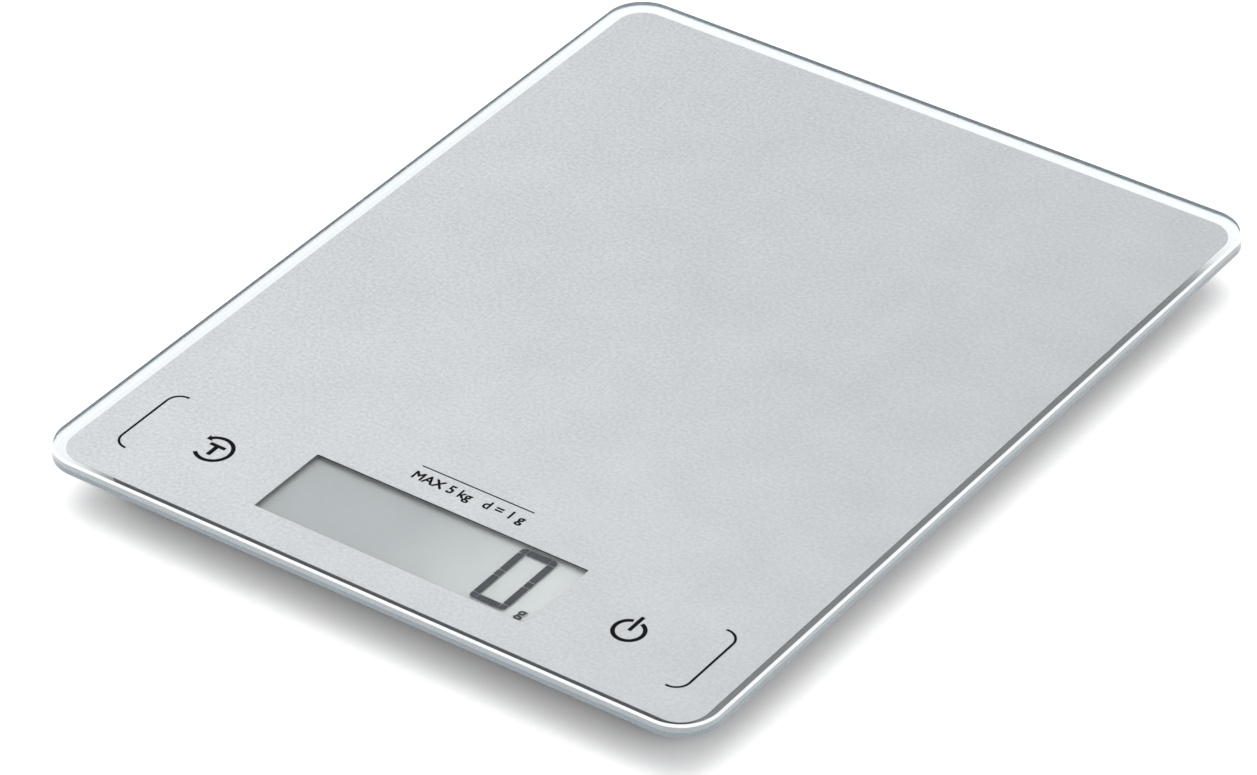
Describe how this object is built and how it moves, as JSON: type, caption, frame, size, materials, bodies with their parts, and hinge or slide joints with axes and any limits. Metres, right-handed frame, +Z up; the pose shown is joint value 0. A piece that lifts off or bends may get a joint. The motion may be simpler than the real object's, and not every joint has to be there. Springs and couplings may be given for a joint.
{
  "type": "kitchen scale",
  "caption": "Slim flat kitchen scale: rounded rectangular glass platform with silver back-print, display window and touch keys, over a shallow tray on sprung feet.",
  "frame": {"origin": "on the table, under the middle of the platform", "axes": "+Z up, +X along the front edge to the right, +Y to the back; the display and keys are at -Y"},
  "size_m": [0.21, 0.27, 0.018],
  "materials": {
    "clear_glass": "polished, clear with a faint cool tint",
    "silver_ink": "satin silver ink with a fine metallic grain, seen through the glass",
    "foam": "matte closed-cell foam",
    "tray_plastic": "fine moulded texture",
    "label_film": "satin film, left blank",
    "display_glass": "clear, slightly green",
    "display_reflector": "pale green-grey diffuse reflector",
    "white_plastic": "moulded",
    "zebra_rubber": "layered elastomer",
    "board_laminate": "green solder mask",
    "black_epoxy": "satin",
    "screw_steel": "zinc plated",
    "copper": "bare copper foil",
    "spring_steel": "nickel plated",
    "foot_rubber": "matte, slightly dusty",
    "cup_plastic": "moulded",
    "cell_alloy": "ground",
    "coin_steel": "bright, spun",
    "white_insulation": "satin",
    "black_insulation": "satin",
    "red_insulation": "satin"
  },
  "bodies": {
    "scale_body": {"glass_plate": "clear_glass", "silver_backprint": "silver_ink", "foam_tape": "foam", "base_tray": "tray_plastic", "rating_label": "label_film", "lcd_front_glass": "display_glass", "lcd_rear_glass": "display_glass", "lcd_reflector": "display_reflector", "lcd_holder": "white_plastic", "zebra_strip": "zebra_rubber", "main_board": "board_laminate", "controller_blob": "black_epoxy", "converter_chip": "black_epoxy", "board_screw_1": "screw_steel", "board_screw_2": "screw_steel", "board_screw_3": "screw_steel", "board_screw_4": "screw_steel", "touch_foil_tare": "copper", "touch_spring_tare": "spring_steel", "touch_foil_power": "copper", "touch_spring_power": "spring_steel", "load_cell_front_left": "cell_alloy", "cell_clamp_front_left": "white_plastic", "clamp_screw_front_left_1": "screw_steel", "clamp_screw_front_left_2": "screw_steel", "cell_lead_front_left": "white_insulation", "load_cell_front_right": "cell_alloy", "cell_clamp_front_right": "white_plastic", "clamp_screw_front_right_1": "screw_steel", "clamp_screw_front_right_2": "screw_steel", "cell_lead_front_right": "white_insulation", "load_cell_rear_left": "cell_alloy", "cell_clamp_rear_left": "white_plastic", "clamp_screw_rear_left_1": "screw_steel", "clamp_screw_rear_left_2": "screw_steel", "cell_lead_rear_left": "white_insulation", "load_cell_rear_right": "cell_alloy", "cell_clamp_rear_right": "white_plastic", "clamp_screw_rear_right_1": "screw_steel", "clamp_screw_rear_right_2": "screw_steel", "cell_lead_rear_right": "white_insulation", "coin_cell": "coin_steel", "minus_contact": "spring_steel", "plus_contact": "spring_steel", "battery_lead_minus": "black_insulation", "battery_lead_plus": "red_insulation"},
    "foot_front_left": {"foot_cup_front_left": "cup_plastic", "foot_pad_front_left": "foot_rubber"},
    "foot_front_right": {"foot_cup_front_right": "cup_plastic", "foot_pad_front_right": "foot_rubber"},
    "foot_rear_left": {"foot_cup_rear_left": "cup_plastic", "foot_pad_rear_left": "foot_rubber"},
    "foot_rear_right": {"foot_cup_rear_right": "cup_plastic", "foot_pad_rear_right": "foot_rubber"},
    "door": {"battery_door": "tray_plastic"}
  },
  "joints": [
    {"name": "front_left_foot_travel", "type": "slide", "parent": "scale_body", "child": "foot_front_left", "axis": [0, 0, 1], "range_m": [0, 0.0004], "stiffness_N_per_m": 30000},
    {"name": "front_right_foot_travel", "type": "slide", "parent": "scale_body", "child": "foot_front_right", "axis": [0, 0, 1], "range_m": [0, 0.0004], "stiffness_N_per_m": 30000},
    {"name": "rear_left_foot_travel", "type": "slide", "parent": "scale_body", "child": "foot_rear_left", "axis": [0, 0, 1], "range_m": [0, 0.0004], "stiffness_N_per_m": 30000},
    {"name": "rear_right_foot_travel", "type": "slide", "parent": "scale_body", "child": "foot_rear_right", "axis": [0, 0, 1], "range_m": [0, 0.0004], "stiffness_N_per_m": 30000},
    {"name": "battery_door_hinge", "type": "hinge", "parent": "scale_body", "child": "door", "pos_m": [0, -0.0339, 0.003], "axis": [1, 0, 0], "range_deg": [0, 75]}
  ]
}
